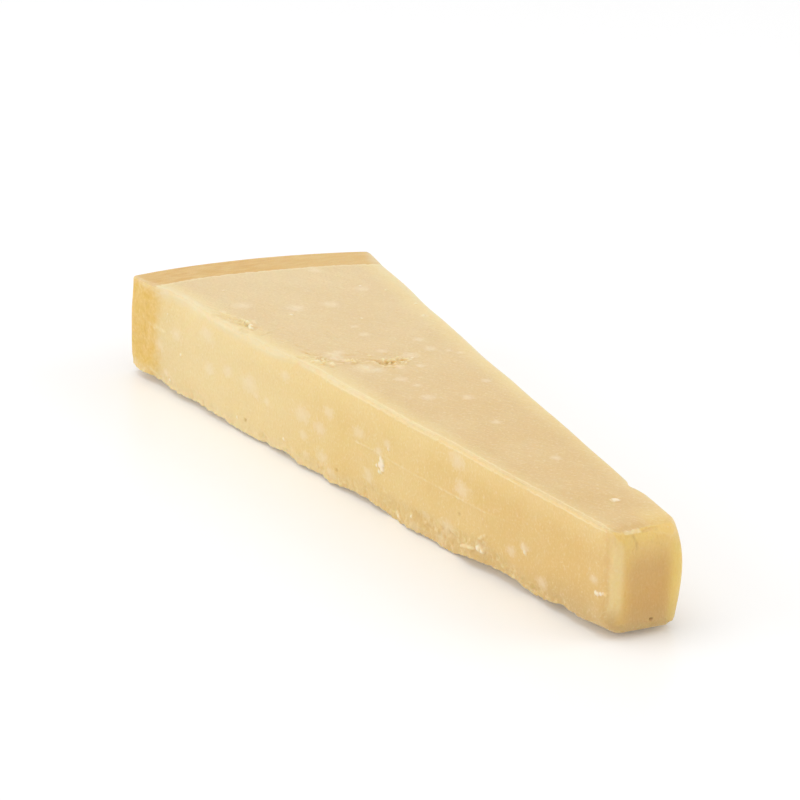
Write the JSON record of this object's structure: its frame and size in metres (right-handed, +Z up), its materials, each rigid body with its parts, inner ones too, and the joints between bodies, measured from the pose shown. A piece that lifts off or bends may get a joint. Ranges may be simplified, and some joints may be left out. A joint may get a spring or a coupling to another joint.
{
  "type": "parmesan chunk",
  "caption": "Wedge-shaped chunk of hard grating cheese with a curved rind at the wide end, a blunt tip and a broken underside that it rests on.",
  "frame": {"origin": "centre of the footprint of the bounding box, on the surface that the chunk rests on", "axes": "+X from the rind at the wide heel to the blunt tip, +Y across the wedge, +Z up through its thickness"},
  "size_m": [0.208, 0.0652, 0.0272],
  "materials": {
    "cheese": "satin, slightly translucent, waxy cut faces and a matt darker rind band along the wide end"
  },
  "bodies": {
    "root": {"cheese_wedge": "cheese"}
  },
  "joints": []
}
